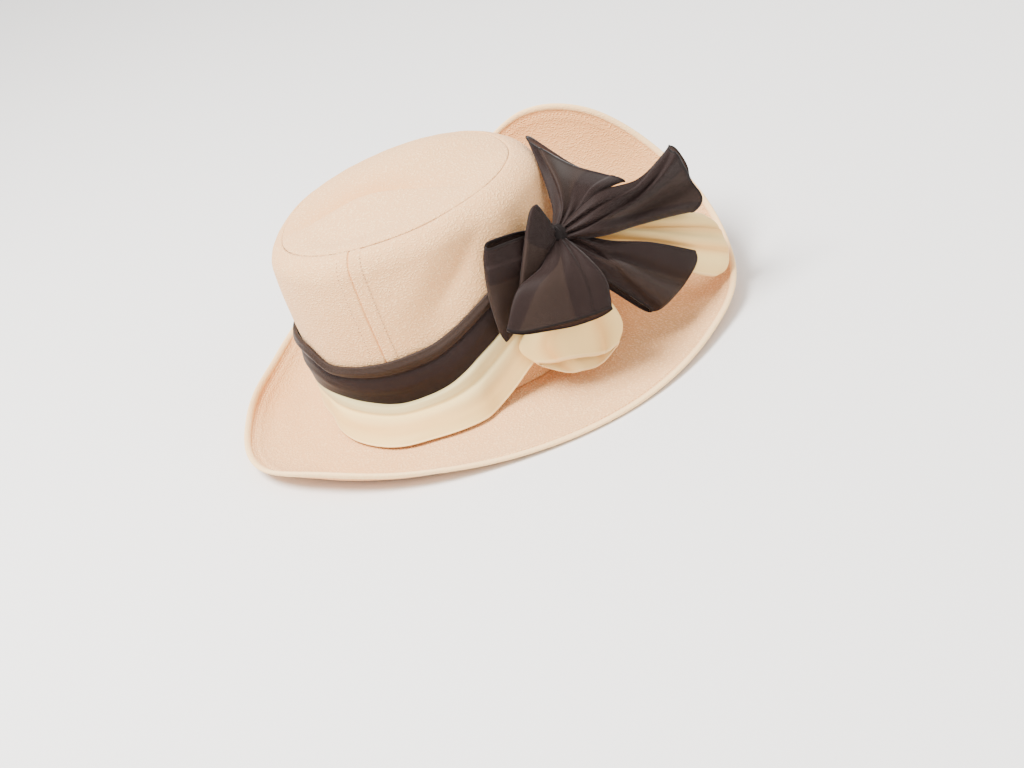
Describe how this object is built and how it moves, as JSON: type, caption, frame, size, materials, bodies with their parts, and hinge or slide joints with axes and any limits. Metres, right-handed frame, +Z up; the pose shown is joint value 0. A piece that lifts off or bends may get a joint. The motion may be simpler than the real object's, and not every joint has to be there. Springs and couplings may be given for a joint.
{
  "type": "brimmed cloth hat with a sash and bow",
  "caption": "Cloth hat with a rounded crown, a wide waved brim turned up on one side, a two-colour chiffon sash and a gathered bow.",
  "frame": {"origin": "on the surface that the hat lies on, under the middle of the brim's outline", "axes": "+Z up, +X to the front of the hat, +Y to its turned-up side; the bow is on the -Y side towards the front"},
  "size_m": [0.3526, 0.294, 0.145],
  "materials": {
    "crepe": "matt pebbled crepe, peach cream",
    "hem": "matt rolled crepe hem, paler",
    "brown_chiffon": "fine soft chiffon, dark brown",
    "cream_chiffon": "fine soft chiffon, cream"
  },
  "bodies": {
    "root": {"crown_side": "crepe", "crown_tip": "crepe", "brim": "crepe", "brim_edge": "hem", "band_brown": "brown_chiffon", "band_cream": "cream_chiffon", "bow_knot": "brown_chiffon", "loop_upper": "brown_chiffon", "loop_front": "brown_chiffon", "loop_side": "brown_chiffon", "loop_lower": "brown_chiffon", "loop_fold": "brown_chiffon", "loop_back": "brown_chiffon", "loop_cream_lower": "cream_chiffon", "loop_cream_front": "cream_chiffon"}
  },
  "joints": []
}
